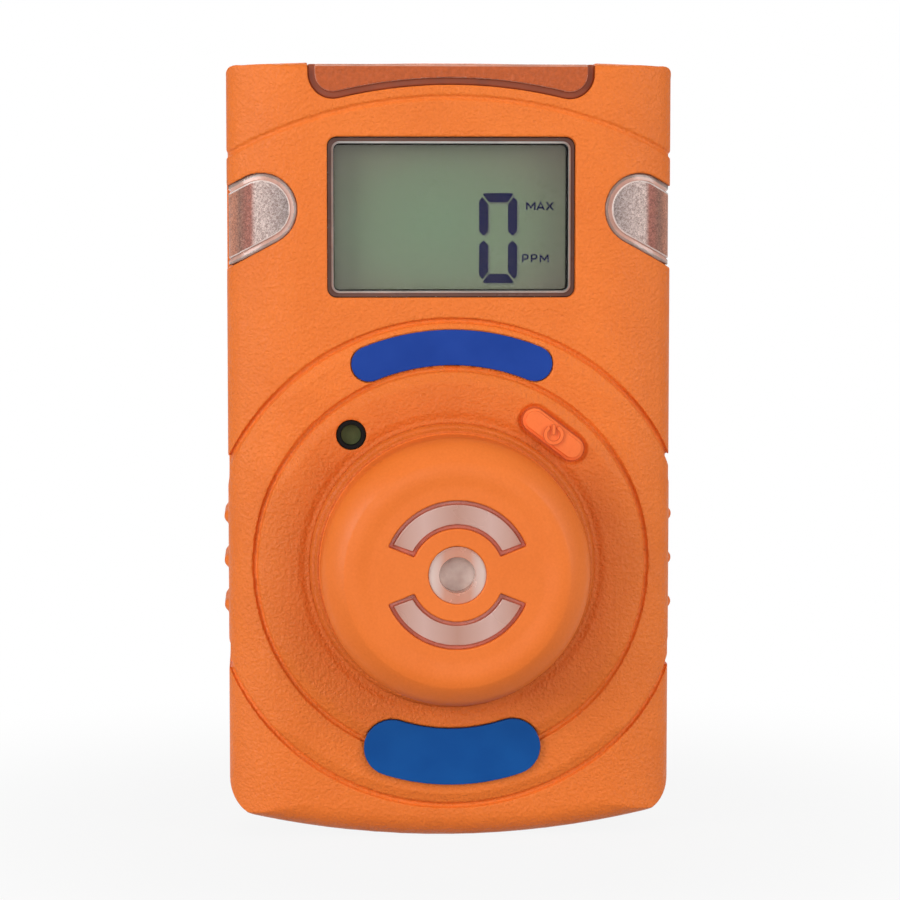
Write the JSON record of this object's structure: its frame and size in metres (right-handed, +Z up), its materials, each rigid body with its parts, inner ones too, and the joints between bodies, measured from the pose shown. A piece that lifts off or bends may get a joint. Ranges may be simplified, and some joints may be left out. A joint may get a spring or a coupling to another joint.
{
  "type": "portable gas detector",
  "caption": "Pocket gas detector in an orange moulded case with a domed sensor cap, display, alarm lenses, power key and a sprung rear clip.",
  "frame": {"origin": "middle of the foot of the object's box, below the middle of the case", "axes": "+Z up the case, -Y out of the front face with the display, +X to the viewer's right"},
  "size_m": [0.053, 0.0364, 0.0908],
  "materials": {
    "case_orange": "soft-touch, fine moulded grain",
    "cap_orange": "soft-touch, smoother than the case",
    "seal_black": "matt",
    "steel": "zinc plated",
    "label_upper": "printed film, slightly domed",
    "label_lower": "printed film, slightly domed",
    "window_clear": "clear, polished",
    "display_glass": "grey-green, reflective",
    "light_guide": "white, diffuse",
    "black_plastic": "plain moulded",
    "contact_strip": "layered",
    "lens_amber": "translucent, textured inside",
    "lens_frosted": "translucent, frosted",
    "led_white": "diffuse",
    "membrane": "fine mesh",
    "retainer_frosted": "translucent, frosted",
    "filter_white": "porous membrane",
    "sensor_body": "moulded",
    "gold": "gold plated",
    "board_green": "solder mask",
    "cell_can": "shrink sleeve over the can",
    "tab_metal": "nickel plated",
    "weight_metal": "sintered tungsten look",
    "clip_steel": "nickel plated, pressed sheet",
    "spring_steel": "drawn wire"
  },
  "bodies": {
    "case": {"front_cover": "case_orange", "rear_cover": "case_orange", "sensor_cap": "cap_orange", "case_gasket": "seal_black", "window_seal": "seal_black", "lcd_border": "seal_black", "sounder_grommet": "seal_black", "sensor_seal": "seal_black", "battery_pad": "seal_black", "motor_boot": "seal_black", "case_screws": "steel", "board_screws": "steel", "clip_screw": "steel", "clip_pin": "steel", "vibration_motor": "steel", "upper_label": "label_upper", "lower_label": "label_lower", "display_window": "window_clear", "lcd_panel": "display_glass", "lcd_backlight": "light_guide", "lcd_carrier": "black_plastic", "sounder": "black_plastic", "key_switch": "black_plastic", "board_chips": "black_plastic", "zebra_strips": "contact_strip", "top_alarm_lens": "lens_amber", "left_alarm_lens": "lens_frosted", "right_alarm_lens": "lens_frosted", "alarm_leds": "led_white", "sounder_membrane": "membrane", "filter_retainer": "retainer_frosted", "dust_filter": "filter_white", "gas_sensor": "sensor_body", "sensor_pins": "gold", "pin_sockets": "gold", "main_board": "board_green", "battery": "cell_can", "battery_tabs": "tab_metal", "clip_base": "clip_steel", "clip_spring": "spring_steel"},
    "key": {"power_button": "case_orange", "switch_plunger": "black_plastic"},
    "clip_jaw": {"clip_lever": "clip_steel"},
    "motor_rotor": {"motor_shaft": "steel", "eccentric_weight": "weight_metal"}
  },
  "joints": [
    {"name": "key_press", "type": "slide", "parent": "case", "child": "key", "axis": [0, 1, 0], "range_m": [0, 0.0006], "stiffness_N_per_m": 1500},
    {"name": "clip_hinge", "type": "hinge", "parent": "case", "child": "clip_jaw", "pos_m": [0, 0.015, 0.0578], "axis": [1, 0, 0], "range_deg": [0, 14], "stiffness_Nm_per_rad": 0.25, "deforming": ["clip_spring"]},
    {"name": "motor_spin", "type": "hinge", "parent": "case", "child": "motor_rotor", "pos_m": [-0.003, 0.00725, 0.0698], "axis": [1, 0, 0], "continuous": true}
  ]
}
